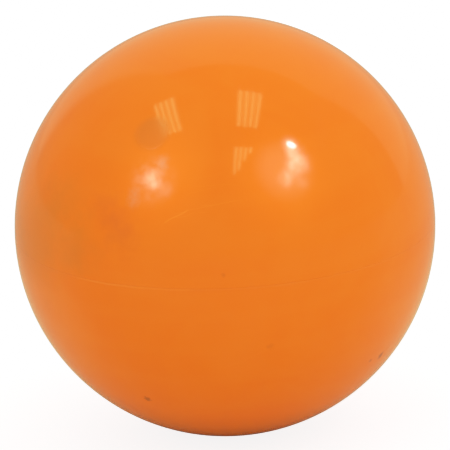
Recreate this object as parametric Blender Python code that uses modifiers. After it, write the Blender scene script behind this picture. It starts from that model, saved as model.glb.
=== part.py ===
"""Smooth hollow plastic ball with no holes: two half shells, the weld between them and a bonded vent plug.

Metres, +Z up. The origin is the ball's centre. The weld seam lies in the XY plane, and the half with the
plug is above it. The plug's axis passes through the centre and lies in the YZ plane, on the -Y side.

A turned profile is a list of (distance from the axis, height) points that run down its outer side.
"""

from math import asin, cos, pi, radians, sin, sqrt

import bpy

MM = 0.001
CENTRE = (0.0, 0.0)
POLE = pi / 2

# Ball
BALL_RADIUS = 37.0 * MM
WALL = 1.5 * MM
TURN_STEPS = 64
OUTER_ARC_STEPS = 16
INNER_ARC_STEPS = 12

# Thicker rim that gives the butt weld its width
RIM_WIDTH = 2.4 * MM
RIM_HEIGHT = 2.5 * MM
RIM_TAPER_TOP = 4.5 * MM

# Clearance between bonded or pressed pieces
FIT_GAP = 0.05 * MM

# Weld: a thin web between the two rims, a trimmed crown outside and two rolled lobes inside
WEB_HALF_HEIGHT = 0.15 * MM
CROWN_PROUD = 0.04 * MM
CROWN_STEPS = 4
LOBE_RADIUS = 0.4 * MM
LOBE_STEPS = 6

# Vent plug and its seat in the upper half
PLUG_LATITUDE = radians(42.3)
PLUG_STEPS = 40
HEAD_RADIUS = 3.0 * MM
HEAD_RIM_HEIGHT = 0.55 * MM
CAP_STEPS = 3
STEM_RADIUS = 1.45 * MM
BARB_RADIUS = 1.9 * MM
BARB_TIP_RADIUS = 0.9 * MM
BARB_LENGTH = 1.2 * MM
BOSS_RADIUS = 4.0 * MM
BOSS_DEPTH = 1.4 * MM
BOSS_CHAMFER = 0.3 * MM
BOSS_ROOT_IN_WALL = 0.6 * MM
CUTTER_MARGIN = 1.5 * MM

# Worked out from the driving dimensions
INNER_RADIUS = BALL_RADIUS - WALL
RIM_INNER_RADIUS = BALL_RADIUS - RIM_WIDTH
RIM_FACE_HEIGHT = WEB_HALF_HEIGHT + FIT_GAP
HEAD_RIM_TOP = sqrt(BALL_RADIUS**2 - HEAD_RADIUS**2)
HEAD_SEAT = HEAD_RIM_TOP - HEAD_RIM_HEIGHT
BOSS_FACE = INNER_RADIUS - BOSS_DEPTH

# Finishes
ORANGE = (0.87, 0.19, 0.018, 1.0)
DEEP_ORANGE = (0.78, 0.15, 0.015, 1.0)
DULL_ORANGE = (0.74, 0.17, 0.03, 1.0)
GLOSSY = 0.15
SATIN = 0.28


def clear_scene():
    for obj in list(bpy.data.objects):
        bpy.data.objects.remove(obj)


def new_collection(name):
    collection = bpy.data.collections.new(name)
    bpy.context.scene.collection.children.link(collection)
    return collection


def plastic(name, colour, roughness):
    """A glossy moulded plastic, with no metal in it."""
    material = bpy.data.materials.new(name)
    material.use_nodes = True
    shader = material.node_tree.nodes["Principled BSDF"]
    shader.inputs["Base Color"].default_value = colour
    shader.inputs["Roughness"].default_value = roughness
    shader.inputs["Metallic"].default_value = 0.0
    material.diffuse_color = colour
    return material


def arc(centre, radius, start, end, steps):
    """Points on an arc of the profile's plane, from angle start to angle end, both ends included."""
    points = []
    for step in range(steps + 1):
        angle = start + (end - start) * step / steps
        points.append((centre[0] + radius * cos(angle), centre[1] + radius * sin(angle)))
    return points


def turned(name, profile, steps, collection, closed=False):
    """A profile turned once about its object's Z axis. An open profile starts and ends on that axis."""
    count = len(profile)
    edges = [(i, i + 1) for i in range(count - 1)]
    if closed:
        edges.append((count - 1, 0))
    mesh = bpy.data.meshes.new(name)
    mesh.from_pydata([(x, 0.0, z) for x, z in profile], edges, [])
    obj = bpy.data.objects.new(name, mesh)
    collection.objects.link(obj)
    screw = obj.modifiers.new("turn", "SCREW")
    screw.axis = "Z"
    screw.angle = 2 * pi
    screw.steps = screw.render_steps = steps
    screw.use_merge_vertices = True
    screw.merge_threshold = 0.001 * MM
    screw.use_smooth_shade = True
    return obj


def as_helper(obj):
    """Marks an object that only shapes another part, such as a cutter."""
    obj.hide_render = True
    obj.display_type = "WIRE"


def combine(obj, other, operation):
    """Joins the other object to this one, or cuts it away, as UNION or DIFFERENCE says."""
    modifier = obj.modifiers.new(f"{operation.lower()}_{other.name}", "BOOLEAN")
    modifier.operation = operation
    modifier.object = other
    modifier.solver = "EXACT"


def upper_shell_profile():
    """Half shell above the seam: down its outer side, across the rim, and up inside to the pole."""
    outer = arc(CENTRE, BALL_RADIUS, POLE, asin(RIM_FACE_HEIGHT / BALL_RADIUS), OUTER_ARC_STEPS)
    inner = arc(CENTRE, INNER_RADIUS, asin(RIM_TAPER_TOP / INNER_RADIUS), POLE, INNER_ARC_STEPS)
    rim = [(RIM_INNER_RADIUS, RIM_FACE_HEIGHT), (RIM_INNER_RADIUS, RIM_HEIGHT)]
    # The two ends are put exactly on the axis, where the cosine of 90 degrees isn't quite zero.
    outer[0] = (0.0, BALL_RADIUS)
    inner[-1] = (0.0, INNER_RADIUS)
    return outer + rim + inner


def lower_shell_profile():
    """The same shell below the seam, turned over and run the other way so that it still runs downwards."""
    return [(x, -z) for x, z in reversed(upper_shell_profile())]


def weld_profile():
    """The weld's section: crown outside, web between the rims, and a rolled lobe above and below inside."""
    crown = []
    for step in range(CROWN_STEPS + 1):
        height = WEB_HALF_HEIGHT * (1 - 2 * step / CROWN_STEPS)
        bulge = CROWN_PROUD * (1 - (height / WEB_HALF_HEIGHT) ** 2)
        crown.append((BALL_RADIUS + bulge, height))
    web_end = RIM_INNER_RADIUS - FIT_GAP
    lobe_centre = (web_end - LOBE_RADIUS, -WEB_HALF_HEIGHT - LOBE_RADIUS)
    lower_side = [(web_end, -WEB_HALF_HEIGHT)] + arc(lobe_centre, LOBE_RADIUS, 0.0, -pi, LOBE_STEPS)
    valley = (lobe_centre[0] - LOBE_RADIUS / 2, 0.0)
    upper_side = [(x, -z) for x, z in reversed(lower_side)]
    return crown + lower_side + [valley] + upper_side


def plug_profile():
    """The plug: a head whose face continues the ball's surface, a stem, and a barb behind the boss."""
    head = []
    for step in range(CAP_STEPS + 1):
        radius = HEAD_RADIUS * step / CAP_STEPS
        head.append((radius, sqrt(BALL_RADIUS**2 - radius**2)))
    shoulder = BOSS_FACE - 2 * FIT_GAP
    tip = shoulder - BARB_LENGTH
    return head + [
        (HEAD_RADIUS, HEAD_SEAT),
        (STEM_RADIUS, HEAD_SEAT),
        (STEM_RADIUS, shoulder),
        (BARB_RADIUS, shoulder),
        (BARB_TIP_RADIUS, tip),
        (0.0, tip),
    ]


def boss_profile():
    """The thick round pad inside the wall that the plug's stem passes through."""
    root = INNER_RADIUS + BOSS_ROOT_IN_WALL
    return [
        (0.0, root),
        (BOSS_RADIUS, root),
        (BOSS_RADIUS, BOSS_FACE + BOSS_CHAMFER),
        (BOSS_RADIUS - BOSS_CHAMFER, BOSS_FACE),
        (0.0, BOSS_FACE),
    ]


def seat_cutter_profile():
    """What is cut for the plug: a flat-bottomed seat for its head and a bore for its stem."""
    top = BALL_RADIUS + CUTTER_MARGIN
    bottom = BOSS_FACE - CUTTER_MARGIN
    seat_radius = HEAD_RADIUS + FIT_GAP
    seat_floor = HEAD_SEAT - FIT_GAP
    bore_radius = STEM_RADIUS + FIT_GAP
    return [
        (0.0, top),
        (seat_radius, top),
        (seat_radius, seat_floor),
        (bore_radius, seat_floor),
        (bore_radius, bottom),
        (0.0, bottom),
    ]


def plug_axis_empty(collection):
    """An empty at the ball's centre whose +Z points out through the middle of the plug."""
    axis = bpy.data.objects.new("plug_axis", None)
    axis.rotation_euler = (pi / 2 - PLUG_LATITUDE, 0.0, 0.0)
    axis.empty_display_size = BALL_RADIUS
    collection.objects.link(axis)
    return axis


def make_upper_shell(ball, cutters, axis):
    """The half above the seam, with the boss joined inside it and the plug's seat cut through both."""
    shell = turned("upper_half_shell", upper_shell_profile(), TURN_STEPS, ball)
    shell.data.materials.append(plastic("glossy_orange_upper", ORANGE, GLOSSY))
    boss = turned("plug_boss_helper", boss_profile(), PLUG_STEPS, cutters)
    seat = turned("plug_seat_cutter", seat_cutter_profile(), PLUG_STEPS, cutters)
    for helper, operation in ((boss, "UNION"), (seat, "DIFFERENCE")):
        helper.parent = axis
        as_helper(helper)
        combine(shell, helper, operation)


def make_lower_shell(ball):
    """The half below the seam, plain all over."""
    shell = turned("lower_half_shell", lower_shell_profile(), TURN_STEPS, ball)
    shell.data.materials.append(plastic("glossy_orange_lower", ORANGE, GLOSSY))


def make_weld(ball):
    """The ring of plastic that melted between the two rims."""
    weld = turned("seam_weld", weld_profile(), TURN_STEPS, ball, closed=True)
    weld.data.materials.append(plastic("weld_orange", DEEP_ORANGE, SATIN))


def make_plug(ball, axis):
    """The plug that closes the moulding vent, flush with the ball's surface."""
    plug = turned("vent_plug", plug_profile(), PLUG_STEPS, ball)
    plug.parent = axis
    plug.data.materials.append(plastic("plug_orange", DULL_ORANGE, SATIN))


def main():
    clear_scene()
    ball = new_collection("hollow_ball")
    cutters = new_collection("cutters")

    axis = plug_axis_empty(ball)
    make_upper_shell(ball, cutters, axis)
    make_lower_shell(ball)
    make_weld(ball)
    make_plug(ball, axis)


main()
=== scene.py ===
"""Fine surfaces, finishes, stage and light for a smooth, glossy, hollow plastic ball.

The ball is two moulded half shells, the weld that joins them round the equator and a bonded plug that closes
the moulding vent. Everything is in metres in the frame's own axes: the origin is the ball's centre, +Z is
the seam's normal and points towards the half with the plug, and the plug's axis lies in the YZ plane on the
-Y side. Nothing on the ball moves against the rest of it, so every piece rides on the one body.

Latitudes are measured up from the seam, and longitudes round +Z from -Y towards +X, in degrees.
"""

import logging
import math
from collections.abc import Mapping
from dataclasses import dataclass, field
from enum import Enum

import bmesh
import bpy
from mathutils import Matrix, Vector, noise

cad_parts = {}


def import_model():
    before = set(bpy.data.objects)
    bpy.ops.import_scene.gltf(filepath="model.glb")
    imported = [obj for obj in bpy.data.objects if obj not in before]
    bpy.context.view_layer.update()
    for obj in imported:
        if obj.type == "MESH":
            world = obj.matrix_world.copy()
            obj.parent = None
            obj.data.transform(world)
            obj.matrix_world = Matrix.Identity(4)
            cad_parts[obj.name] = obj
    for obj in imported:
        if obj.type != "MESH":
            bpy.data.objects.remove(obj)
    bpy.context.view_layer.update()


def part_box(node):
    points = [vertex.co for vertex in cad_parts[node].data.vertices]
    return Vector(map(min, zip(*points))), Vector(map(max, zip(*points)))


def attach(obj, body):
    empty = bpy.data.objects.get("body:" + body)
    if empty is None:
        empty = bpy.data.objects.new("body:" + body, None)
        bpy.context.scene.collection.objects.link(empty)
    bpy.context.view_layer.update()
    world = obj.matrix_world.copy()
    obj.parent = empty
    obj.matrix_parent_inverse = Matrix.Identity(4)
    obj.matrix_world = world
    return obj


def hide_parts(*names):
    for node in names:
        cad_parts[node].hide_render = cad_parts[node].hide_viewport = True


log = logging.getLogger("ball")

MM = 0.001
BODY = "root"
CENTRE = (0.0, 0.0, 0.0)
UP = Vector((0.0, 0.0, 1.0))
# Degrees past which an edge is shaded sharp
SHARP_ABOVE = 13.0
# The vector sums whose result is a number
NUMBER_OPERATIONS = ("DOT_PRODUCT", "DISTANCE", "LENGTH")

Colour = tuple[float, float, float]
Way = tuple[float, float, float]
Mesh = bmesh.types.BMesh
Edges = list[bmesh.types.BMEdge]
Socket = bpy.types.NodeSocket
Value = Socket | float

# Linear colours of the marks on the skin, among them painted shade and a painted reflection
# Darker brown of the smudges, also used as painted shade along the left rim
FILM_AND_SHADE: Colour = (0.57, 0.18, 0.015)
SOIL: Colour = (0.66, 0.13, 0.016)
# Pale streaks, also used as a painted reflection of a fourth ceiling luminaire
PALE_STREAK_AND_REFLECTION: Colour = (0.7, 0.28, 0.12)
SPECK: Colour = (0.3, 0.06, 0.008)
# Painted shade over the plug and its boss, where the thicker wall lets less light through
PLUG_PAINTED_SHADE: Colour = (0.66, 0.168, 0.01)

# Linear colours of the strobes' light. The reddish one stands for light that the plastic scatters just
# under its gloss.
UMBRELLA: Colour = (1.0, 0.95, 0.84)
SCATTERED: Colour = (1.0, 0.2, 0.01)


class Slot(Enum):
    """The record's material slots."""

    SHELL = "shell"
    WELD = "weld"
    PLUG = "plug"


class Half(Enum):
    """Which side of the seam a shell is on, as the sign of its heights."""

    UPPER = 1
    LOWER = -1


def direction(latitude: float, longitude: float) -> Vector:
    """Gives the unit vector from the ball's centre to a place on its skin, in degrees."""
    lat, lon = math.radians(latitude), math.radians(longitude)
    return Vector((math.sin(lon) * math.cos(lat), -math.cos(lon) * math.cos(lat), math.sin(lat)))


# ---- geometry


@dataclass(frozen=True)
class BallSizes:
    """The ball's driving sizes, taken from the fixed frame.

    Args:
        radius: Outer radius of the shells.
        rim_height: Height of each shell's rim face above or below the seam plane.
        plug_latitude: Degrees of the plug's axis above the seam.
        wall: Wall thickness away from the rims.
        rim_width: Wall thickness at the rims.
    """

    radius: float
    rim_height: float
    plug_latitude: float = 42.3
    wall: float = 1.5 * MM
    rim_width: float = 2.4 * MM

    @classmethod
    def from_frame(cls) -> "BallSizes":
        """Reads what the frame's upper half measures."""
        low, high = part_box("upper_half_shell")
        return cls(radius=high.z, rim_height=low.z)

    @property
    def inner_radius(self) -> float:
        """Radius of the hollow."""
        return self.radius - self.wall

    @property
    def rim_inner_radius(self) -> float:
        """Inner radius of the thickened rims."""
        return self.radius - self.rim_width

    @property
    def plug_axis(self) -> Vector:
        """The direction in which the plug faces."""
        return direction(self.plug_latitude, 0.0)


@dataclass(frozen=True)
class Undulation:
    """The slight unevenness that moulding and cooling leave in the skin.

    Args:
        waves: Pairs of a wavelength and the height of its waves, in metres.
    """

    waves: tuple[tuple[float, float], ...] = (
        (21 * MM, 0.011 * MM),
        (8 * MM, 0.0026 * MM),
        (3.4 * MM, 0.0006 * MM),
    )

    def height(self, point: Vector) -> float:
        """Measures how far the skin stands off the true sphere near a point, negative in a hollow."""
        return sum(size * noise.noise(point / length) for length, size in self.waves)

    def apply(self, bm: Mesh, above: float) -> None:
        """Moves a mesh's outer points in or out by the height of the waves where they lie.

        Args:
            bm: The mesh, in its place in the frame.
            above: Only points further than this from the centre are moved.
        """
        for vert in bm.verts:
            if vert.co.length > above:
                vert.co += vert.co.normalized() * self.height(vert.co)


class Lathe:
    """Draws a profile in the XZ plane, a step at a time, and turns it once about Z."""

    def __init__(self, radius: float, height: float) -> None:
        """Starts the profile at one distance from the Z axis and one height."""
        self.bm = bmesh.new()
        self.tip = self.bm.verts.new((radius, 0.0, height))

    def line(self, radius: float, height: float, steps: int = 1) -> "Lathe":
        """Draws straight on to a point.

        Args:
            radius: The point's distance from the Z axis.
            height: Its height.
            steps: How many equal parts the line has.

        Returns:
            This lathe, for the next stroke.
        """
        step = (Vector((radius, 0.0, height)) - self.tip.co) / steps
        for _ in range(steps):
            grown = bmesh.ops.extrude_vert_indiv(self.bm, verts=[self.tip])
            self.tip = grown["verts"][0]
            self.tip.co += step
        return self

    def arc(self, centre: tuple[float, float], degrees: float, steps: int) -> "Lathe":
        """Swings on round a point of the profile's plane.

        Args:
            centre: The point, as a distance from the Z axis and a height.
            degrees: How far to swing, positive from +X towards +Z.
            steps: How many straight parts the arc has.

        Returns:
            This lathe, for the next stroke.
        """
        swung = bmesh.ops.spin(
            self.bm,
            geom=[self.tip],
            cent=(centre[0], 0.0, centre[1]),
            axis=(0.0, -1.0, 0.0),
            angle=math.radians(degrees),
            steps=steps,
            use_merge=False,
        )
        self.tip = next(item for item in swung["geom_last"] if isinstance(item, bmesh.types.BMVert))
        return self

    def turn(self, steps: int, axis: Vector | None = None) -> Mesh:
        """Turns the profile into a surface.

        Args:
            steps: How many facets it has round the axis.
            axis: Where +Z ends up, or None to leave it.

        Returns:
            The surface, with its poles merged.
        """
        bmesh.ops.spin(
            self.bm,
            geom=self.bm.verts[:] + self.bm.edges[:],
            cent=CENTRE,
            axis=UP,
            angle=2 * math.pi,
            steps=steps,
            use_merge=True,
        )
        bmesh.ops.remove_doubles(self.bm, verts=self.bm.verts[:], dist=0.0005 * MM)
        if axis is not None:
            turned = UP.rotation_difference(axis).to_matrix()
            bmesh.ops.rotate(self.bm, verts=self.bm.verts[:], cent=CENTRE, matrix=turned)
        return self.bm


def to_object(bm: Mesh, name: str, material: bpy.types.Material) -> bpy.types.Object:
    """Makes an object of a surface, with its place in its mesh.

    Args:
        bm: The surface, which is freed.
        name: The object's name.
        material: Its material.

    Returns:
        The object, linked to the scene.
    """
    mesh = bpy.data.meshes.new(name)
    bm.to_mesh(mesh)
    bm.free()
    mesh.materials.append(material)
    obj = bpy.data.objects.new(name, mesh)
    bpy.context.scene.collection.objects.link(obj)
    return obj


def to_piece(
    bm: Mesh, name: str, finish: bpy.types.Material, node: str
) -> bpy.types.Object:
    """Makes a piece of the ball of a finished surface.

    Args:
        bm: The surface, which is freed.
        name: The piece's name.
        finish: Its material.
        node: The frame's node that it stands for.

    Returns:
        The piece.
    """
    bmesh.ops.recalc_face_normals(bm, faces=bm.faces[:])
    piece = to_object(bm, name, finish)
    piece.data.shade_smooth()
    piece.data.set_sharp_from_angle(angle=math.radians(SHARP_ABOVE))
    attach(piece, BODY)
    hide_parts(node)
    return piece


# ---- finishes


class Graph:
    """A node tree with short ways to add and join its nodes."""

    def __init__(self, tree: bpy.types.NodeTree) -> None:
        """Wraps a tree and empties it."""
        self.tree = tree
        tree.nodes.clear()

    def add(self, kind: str, inputs: dict[str, object] | None = None, **settings: object) -> bpy.types.Node:
        """Adds a node.

        Args:
            kind: The node's type.
            inputs: Sockets by name or number, each with a value or an output to join to it.
            **settings: The node's own properties.

        Returns:
            The node.
        """
        node = self.tree.nodes.new(kind)
        for name, value in settings.items():
            setattr(node, name, value)
        for key, value in (inputs or {}).items():
            socket = node.inputs[int(key)] if key.isdigit() else node.inputs[key]
            if isinstance(value, Socket):
                self.tree.links.new(value, socket)
            else:
                socket.default_value = value
        return node

    def math(self, operation: str, first: Value, second: Value = 0.0, clamp: bool = False) -> Socket:
        """Adds a sum of two numbers or outputs, whose result can be held between 0 and 1."""
        node = self.add("ShaderNodeMath", {"0": first, "1": second}, operation=operation, use_clamp=clamp)
        return node.outputs[0]

    def vector(self, operation: str, first: Socket, second: object = (0.0, 0.0, 0.0)) -> Socket:
        """Adds a sum of two vectors, and gives the output that the operation fills."""
        node = self.add("ShaderNodeVectorMath", {"0": first, "1": second}, operation=operation)
        return node.outputs["Value" if operation in NUMBER_OPERATIONS else "Vector"]

    def ramp(self, value: Value, low: Value, high: Value, to_low: float, to_high: float) -> Socket:
        """Maps the range from low to high smoothly on to the one from to_low to to_high."""
        ends = {"0": value, "1": low, "2": high, "3": to_low, "4": to_high}
        return self.add("ShaderNodeMapRange", ends, interpolation_type="SMOOTHSTEP").outputs[0]

    def mix(self, share: Value, first: object, second: object) -> Socket:
        """Mixes two colours, with the given share of the second."""
        node = self.add("ShaderNodeMix", {"0": share, "6": first, "7": second}, data_type="RGBA")
        return node.outputs[2]

    def noise(
        self, at: Socket, scale: Value, detail: float = 2.0, roughness: float = 0.5, distortion: float = 0.0
    ) -> Socket:
        """Adds a soft random pattern from 0 to 1.

        Args:
            at: The coordinates.
            scale: How many bumps it has to a unit of them.
            detail: How many finer layers it has.
            roughness: How strong they are.
            distortion: How far it is stirred.

        Returns:
            The pattern's output.
        """
        inputs = {"Vector": at, "Scale": scale, "Detail": detail, "Roughness": roughness}
        return self.add("ShaderNodeTexNoise", {**inputs, "Distortion": distortion}).outputs["Fac"]

    def surface(self, shader: Socket) -> None:
        """Ends a material with its shader."""
        self.add("ShaderNodeOutputMaterial", {"Surface": shader})


def new_material(name: str) -> tuple[bpy.types.Material, Graph]:
    """Starts a material.

    Args:
        name: Its name.

    Returns:
        The material and its empty graph.
    """
    material = bpy.data.materials.new(name)
    material.use_nodes = True
    return material, Graph(material.node_tree)


def new_group(
    name: str, inputs: dict[str, float | None], outputs: tuple[str, ...]
) -> tuple[Graph, Mapping[str, Socket]]:
    """Starts a shader node group, whose outputs are numbers.

    Args:
        name: The group's name.
        inputs: Each input's name, with a number's default, or None for a vector.
        outputs: Each output's name.

    Returns:
        The group's graph and its inputs, as outputs of the node that holds them.
    """
    tree = bpy.data.node_groups.new(name, "ShaderNodeTree")
    for label, default in inputs.items():
        if default is None:
            tree.interface.new_socket(label, in_out="INPUT", socket_type="NodeSocketVector")
        else:
            socket = tree.interface.new_socket(label, in_out="INPUT", socket_type="NodeSocketFloat")
            socket.default_value = default
    for label in outputs:
        tree.interface.new_socket(label, in_out="OUTPUT", socket_type="NodeSocketFloat")
    graph = Graph(tree)
    return graph, graph.add("NodeGroupInput").outputs


class SurfaceEffects:
    """The effects that the finishes share, each a node group that reads millimetre coordinates."""

    def __init__(self) -> None:
        """Builds every group once."""
        self.drift = self._pigment_drift()
        self.peel = self._moulded_skin()
        self.speck = self._speck_scatter()
        self.scuff = self._handling_scuff()
        self.spot = self._placed_spot()
        self.hair = self._placed_hair()

    @staticmethod
    def _pigment_drift() -> bpy.types.NodeTree:
        """Makes the slow change of colour where the melt flowed.

        Returns:
            A group that puts out Tone, from -1 to 1, and Streak, from 0 to 1.
        """
        graph, given = new_group("pigment_drift", {"Position": None, "Spread": 16.0}, ("Tone", "Streak"))
        at = given["Position"]
        scale = graph.math("DIVIDE", 1.0, given["Spread"])
        cloud = graph.noise(at, scale, detail=3.0, roughness=0.55, distortion=0.7)
        bands = graph.add(
            "ShaderNodeTexWave",
            {"Vector": at, "Scale": 0.05, "Distortion": 9.0, "Detail": 2.0, "Detail Scale": 0.06},
            bands_direction="Z",
        )
        tone = graph.ramp(cloud, 0.3, 0.7, -1.0, 1.0)
        streak = graph.ramp(bands.outputs["Fac"], 0.55, 1.0, 0.0, 1.0)
        graph.add("NodeGroupOutput", {"Tone": tone, "Streak": streak})
        return graph.tree

    @staticmethod
    def _moulded_skin() -> bpy.types.NodeTree:
        """Makes the fine orange-peel of a glossy moulding.

        Returns:
            A group that puts out Height, in millimetres.
        """
        inputs = {"Position": None, "Cell": 0.9, "Depth": 0.001}
        graph, given = new_group("moulded_skin", inputs, ("Height",))
        scale = graph.math("DIVIDE", 1.0, given["Cell"])
        fine = graph.noise(given["Position"], scale, detail=1.0, roughness=0.4)
        broad = graph.noise(given["Position"], graph.math("MULTIPLY", scale, 0.32), detail=1.0)
        both = graph.math("ADD", fine, graph.math("MULTIPLY", broad, 2.6))
        graph.add("NodeGroupOutput", {"Height": graph.math("MULTIPLY", both, given["Depth"])})
        return graph.tree

    @staticmethod
    def _speck_scatter() -> bpy.types.NodeTree:
        """Makes the few dark specks that regrind leaves in the plastic.

        Returns:
            A group that puts out Mask.
        """
        inputs = {"Position": None, "Spacing": 9.0, "Radius": 0.22, "Share": 0.2}
        graph, given = new_group("speck_scatter", inputs, ("Mask",))
        wobble = graph.add("ShaderNodeTexNoise", {"Vector": given["Position"], "Scale": 3.0})
        moved = graph.vector("MULTIPLY", wobble.outputs["Color"], (0.35, 0.35, 0.35))
        place = graph.vector("ADD", given["Position"], moved)
        scale = graph.math("DIVIDE", 1.0, given["Spacing"])
        cells = graph.add("ShaderNodeTexVoronoi", {"Vector": place, "Scale": scale}).outputs
        parts = graph.add("ShaderNodeSeparateColor", {"Color": cells["Color"]}).outputs
        reach = graph.math("MULTIPLY", cells["Distance"], given["Spacing"])
        size = graph.math("MULTIPLY", given["Radius"], graph.math("ADD", parts["Green"], 0.5))
        inside = graph.math("SUBTRACT", 1.0, graph.math("DIVIDE", reach, size), clamp=True)
        chosen = graph.math("LESS_THAN", parts["Red"], given["Share"])
        solid = graph.math("MULTIPLY", inside, 2.5, clamp=True)
        graph.add("NodeGroupOutput", {"Mask": graph.math("MULTIPLY", solid, chosen)})
        return graph.tree

    @staticmethod
    def _handling_scuff() -> bpy.types.NodeTree:
        """Makes the faint hairs and dull patches that handling leaves on gloss.

        Returns:
            A group that puts out Hairs and Haze, both from 0 to 1.
        """
        graph, given = new_group("handling_scuff", {"Position": None, "Patch": 14.0}, ("Hairs", "Haze"))
        at = given["Position"]
        where = graph.noise(at, graph.math("DIVIDE", 1.0, given["Patch"]), detail=4.0, roughness=0.6)
        hairs = []
        for turn, stretch in (((0.4, 0.2, 1.1), (0.05, 1.6, 0.05)), ((1.2, 0.9, 0.3), (1.9, 0.06, 0.06))):
            turned = graph.add("ShaderNodeMapping", {"Vector": at, "Rotation": turn, "Scale": stretch})
            strand = graph.noise(turned.outputs[0], 1.5)
            off = graph.math("ABSOLUTE", graph.math("SUBTRACT", strand, 0.5))
            hairs.append(graph.ramp(off, 0.0, 0.006, 1.0, 0.0))
        worn = graph.ramp(where, 0.46, 0.7, 0.0, 1.0)
        lines = graph.math("MULTIPLY", graph.math("MAXIMUM", *hairs), worn)
        graph.add("NodeGroupOutput", {"Hairs": lines, "Haze": graph.ramp(where, 0.5, 0.78, 0.0, 1.0)})
        return graph.tree

    @staticmethod
    def _placed_spot() -> bpy.types.NodeTree:
        """Makes one soft or hard spot at a given place.

        Returns:
            A group that puts out Mask.
        """
        inputs = {"Position": None, "Centre": None, "Radius": 1.0, "Ragged": 0.3, "Edge": 0.5}
        graph, given = new_group("placed_spot", inputs, ("Mask",))
        at, radius = given["Position"], given["Radius"]
        share = graph.math("DIVIDE", graph.vector("DISTANCE", at, given["Centre"]), radius)
        rough = graph.noise(at, graph.math("DIVIDE", 2.2, radius), detail=4.0, roughness=0.6)
        push = graph.math("MULTIPLY", graph.math("SUBTRACT", rough, 0.5), given["Ragged"])
        pushed = graph.math("ADD", share, graph.math("MULTIPLY", push, 3.0))
        start = graph.math("SUBTRACT", 1.0, given["Edge"])
        graph.add("NodeGroupOutput", {"Mask": graph.ramp(pushed, start, 1.0, 1.0, 0.0)})
        return graph.tree

    @staticmethod
    def _placed_hair() -> bpy.types.NodeTree:
        """Makes one fine line along a circle of the sphere, fading out to both ends.

        Returns:
            A group that puts out Mask.
        """
        inputs = {"Position": None, "Middle": None, "Across": None, "Half Length": 5.0, "Half Width": 0.08}
        graph, given = new_group("placed_hair", inputs, ("Mask",))
        away = graph.vector("SUBTRACT", given["Position"], given["Middle"])
        side = graph.vector("DOT_PRODUCT", away, given["Across"])
        bend = graph.noise(given["Position"], 0.25, detail=1.0)
        wander = graph.math("MULTIPLY", graph.math("SUBTRACT", bend, 0.5), 1.2)
        off = graph.math("ABSOLUTE", graph.math("ADD", side, wander))
        line = graph.math("SUBTRACT", 1.0, graph.math("DIVIDE", off, given["Half Width"]), clamp=True)
        along = graph.math("DIVIDE", graph.vector("LENGTH", away), given["Half Length"])
        fade = graph.ramp(along, 0.55, 1.0, 1.0, 0.0)
        graph.add("NodeGroupOutput", {"Mask": graph.math("MULTIPLY", line, fade)})
        return graph.tree


@dataclass(frozen=True)
class Spot:
    """A mark at one place on the skin.

    Args:
        latitude: Degrees above the seam.
        longitude: Degrees round +Z.
        radius: Its radius in millimetres.
        strength: How much of its colour it has, from 0 to 1.
        colour: Its colour.
        ragged: How uneven its outline is.
        edge: The share of its radius over which it fades.
    """

    latitude: float
    longitude: float
    radius: float
    strength: float
    colour: Colour
    ragged: float
    edge: float


@dataclass(frozen=True)
class Hair:
    """A fine line on the skin, along a circle of the sphere.

    Args:
        latitude: Degrees above the seam, at its middle.
        longitude: Degrees round +Z, at its middle.
        heading: Degrees that it climbs, towards growing longitudes.
        length: Its whole length in millimetres.
        strength: How strongly it shows, from 0 to 1.
        width: Its width in millimetres.
    """

    latitude: float
    longitude: float
    heading: float
    length: float
    strength: float
    width: float = 0.2


@dataclass(frozen=True)
class Marking:
    """Lays marks in one material, at their places on the ball.

    Args:
        graph: The material's graph.
        effects: The shared groups.
        at: Millimetre coordinates.
        radius: The ball's radius in millimetres.
    """

    graph: Graph
    effects: SurfaceEffects
    at: Socket
    radius: float

    def effect(
        self, tree: bpy.types.NodeTree, inputs: dict[str, object] | None = None
    ) -> Mapping[str, Socket]:
        """Places a shared group with its inputs, and gives its outputs."""
        inputs = {"Position": self.at, **(inputs or {})}
        return self.graph.add("ShaderNodeGroup", inputs, node_tree=tree).outputs

    def spots(self, colour: Socket, spots: tuple[Spot, ...]) -> tuple[Socket, Socket]:
        """Lays spots over a colour.

        Args:
            colour: The colour that they lie on.
            spots: The spots.

        Returns:
            The colour with the spots on it, and a mask of all of them.
        """
        total = self.graph.math("ADD", 0.0, 0.0)
        for spot in spots:
            centre = direction(spot.latitude, spot.longitude) * self.radius
            inputs = {"Centre": centre, "Radius": spot.radius, "Ragged": spot.ragged, "Edge": spot.edge}
            mask = self.effect(self.effects.spot, inputs)["Mask"]
            share = self.graph.math("MULTIPLY", mask, spot.strength)
            colour = self.graph.mix(share, colour, (*spot.colour, 1.0))
            total = self.graph.math("ADD", total, share, clamp=True)
        return colour, total

    def lines(self, hairs: tuple[Hair, ...]) -> Socket:
        """Adds up fine lines into one mask.

        Args:
            hairs: The lines.

        Returns:
            The mask, from 0 to 1.
        """
        total = self.graph.math("ADD", 0.0, 0.0)
        for hair in hairs:
            middle = direction(hair.latitude, hair.longitude)
            east = UP.cross(middle).normalized()
            across = Matrix.Rotation(math.radians(hair.heading), 3, middle) @ middle.cross(east)
            inputs = {"Middle": middle * self.radius, "Across": across}
            inputs.update({"Half Length": hair.length / 2, "Half Width": hair.width / 2})
            mask = self.effect(self.effects.hair, inputs)["Mask"]
            share = self.graph.math("MULTIPLY", mask, hair.strength)
            total = self.graph.math("ADD", total, share, clamp=True)
        return total


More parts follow.
